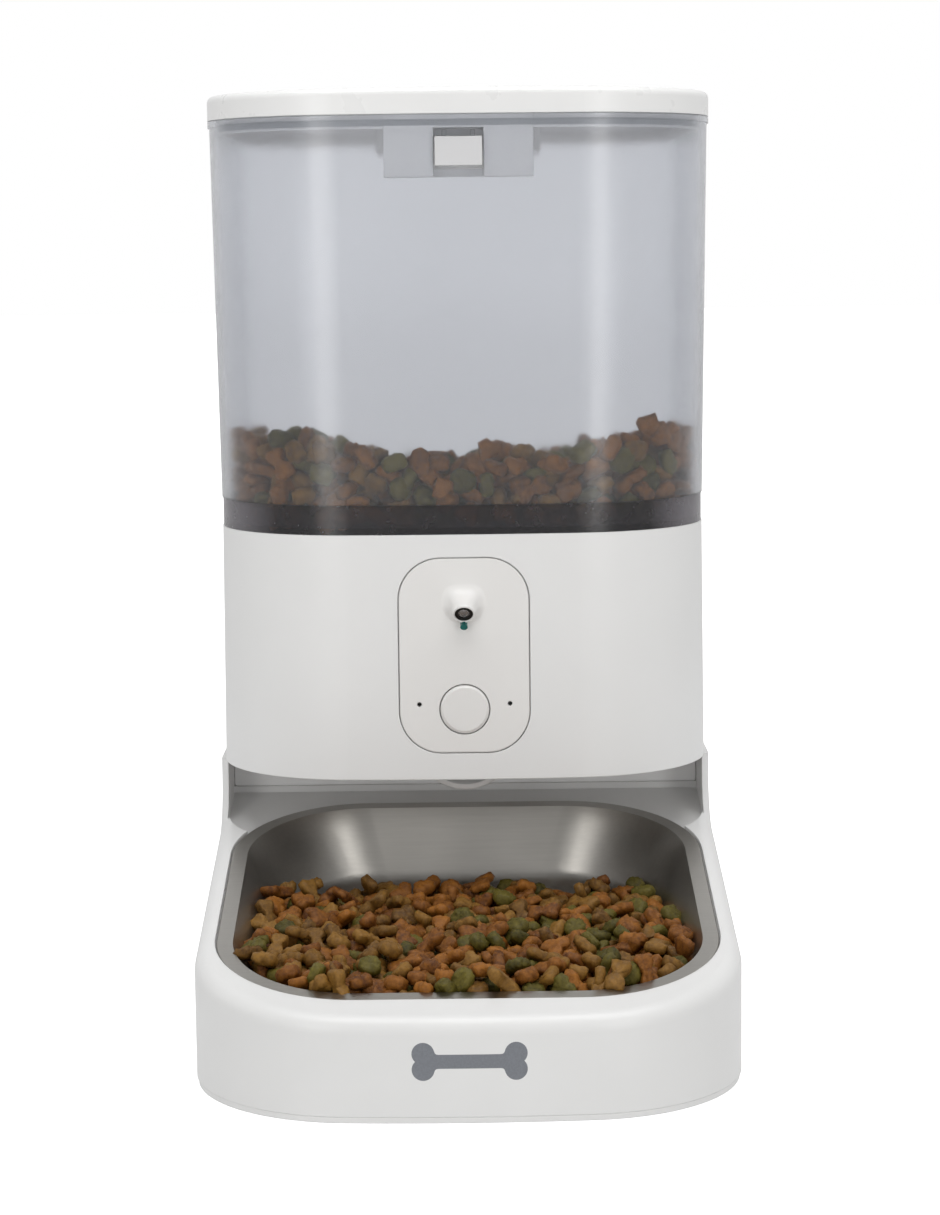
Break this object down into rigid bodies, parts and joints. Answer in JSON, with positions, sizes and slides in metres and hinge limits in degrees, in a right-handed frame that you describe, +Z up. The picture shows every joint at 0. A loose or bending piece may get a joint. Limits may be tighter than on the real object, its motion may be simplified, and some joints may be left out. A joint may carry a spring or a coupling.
{
  "type": "automatic pet feeder",
  "caption": "Automatic dry-food feeder: steel bowl in a sloping base, white body with camera and feed button, frosted lift-off tank with lid, rotor and gear drive.",
  "frame": {"origin": "on the floor under the middle of the feeder's bounding box, at the underside of the rubber feet", "axes": "+Z up, -Y towards the front where the bowl is, +X to the feeder's left as seen from behind, right as seen from the front"},
  "size_m": [0.192, 0.32, 0.35],
  "materials": {
    "white_plastic": "satin white ABS",
    "frosted_plastic": "frosted translucent",
    "smoked_plastic": "smoked translucent",
    "steel": "brushed stainless",
    "fastener_steel": "plain steel",
    "rubber": "matt",
    "silicone": "soft translucent grey",
    "black_plastic": "matt black",
    "lens_glass": "clear coated lens",
    "indicator": "dark green",
    "circuit_board": "solder mask",
    "gear_plastic": "natural acetal",
    "motor_metal": "zinc plated",
    "sachet_paper": "paper sachet"
  },
  "bodies": {
    "root": {"base_shell": "white_plastic", "bottom_plate": "white_plastic", "foot_1": "rubber", "foot_2": "rubber", "foot_3": "rubber", "foot_4": "rubber", "base_screws": "fastener_steel", "neck_panel": "white_plastic", "body_shell": "white_plastic", "front_panel": "white_plastic", "camera_hood": "white_plastic", "camera_ring": "black_plastic", "camera_lens": "lens_glass", "camera_module": "black_plastic", "indicator_light": "indicator", "control_board": "circuit_board", "button_switch": "black_plastic", "microphones": "silicone", "main_board": "circuit_board", "speaker": "black_plastic", "hopper_seat": "gear_plastic", "power_inlet": "black_plastic", "chute": "white_plastic", "fall_sensors": "black_plastic", "gear_case": "gear_plastic", "gear_cover": "gear_plastic", "idler_axle": "fastener_steel", "motor": "motor_metal"},
    "bowl": {"bowl": "steel"},
    "feed_button": {"feed_button": "white_plastic"},
    "tank": {"tank_shell": "frosted_plastic", "hopper_base": "smoked_plastic", "rotor_cover": "gear_plastic", "latch_pin": "fastener_steel"},
    "latch_button": {"latch_button": "white_plastic"},
    "lid": {"lid_cover": "white_plastic", "lid_liner": "white_plastic", "lid_seal": "silicone", "latch_block": "white_plastic", "desiccant_box": "white_plastic", "desiccant_cover": "white_plastic", "desiccant_pack": "sachet_paper"},
    "rotor": {"rotor": "gear_plastic", "rotor_wipers": "silicone"},
    "output_gear": {"output_gear": "gear_plastic"},
    "idler_gear": {"idler_gear": "gear_plastic"},
    "motor_pinion": {"motor_pinion": "gear_plastic"}
  },
  "joints": [
    {"name": "bowl_tip", "type": "hinge", "parent": "root", "child": "bowl", "pos_m": [0, 0.03123, 0.07184], "axis": [-1, 0, 0], "range_deg": [0, 25]},
    {"name": "feed_press", "type": "slide", "parent": "root", "child": "feed_button", "axis": [0, 1, 0], "range_m": [0, 0.001], "stiffness_N_per_m": 400, "springref_m": -0.0008},
    {"name": "tank_lift", "type": "slide", "parent": "root", "child": "tank", "axis": [0, 0, 1], "range_m": [0, 0.09]},
    {"name": "lid_lift", "type": "slide", "parent": "tank", "child": "lid", "axis": [0, 0, 1], "range_m": [0, 0.05]},
    {"name": "latch_press", "type": "hinge", "parent": "tank", "child": "latch_button", "pos_m": [0, -0.0212, 0.329], "axis": [1, 0, 0], "range_deg": [0, 8], "stiffness_Nm_per_rad": 0.05, "springref_deg": -8.59},
    {"name": "rotor_turn", "type": "hinge", "parent": "tank", "child": "rotor", "pos_m": [0, 0.067, 0.14], "axis": [0, 0, 1], "continuous": true},
    {"name": "output_turn", "type": "hinge", "parent": "root", "child": "output_gear", "pos_m": [0, 0.067, 0.103], "axis": [0, 0, 1], "continuous": true},
    {"name": "idler_turn", "type": "hinge", "parent": "root", "child": "idler_gear", "pos_m": [0, 0.091, 0.103], "axis": [0, 0, 1], "continuous": true},
    {"name": "motor_turn", "type": "hinge", "parent": "root", "child": "motor_pinion", "pos_m": [0, 0.107, 0.103], "axis": [0, 0, 1], "continuous": true}
  ],
  "couplings": [
    {"joint": "output_turn", "follows": "rotor_turn", "ratio": 1},
    {"joint": "idler_turn", "follows": "rotor_turn", "ratio": -1.4},
    {"joint": "motor_turn", "follows": "rotor_turn", "ratio": 2.3333}
  ]
}
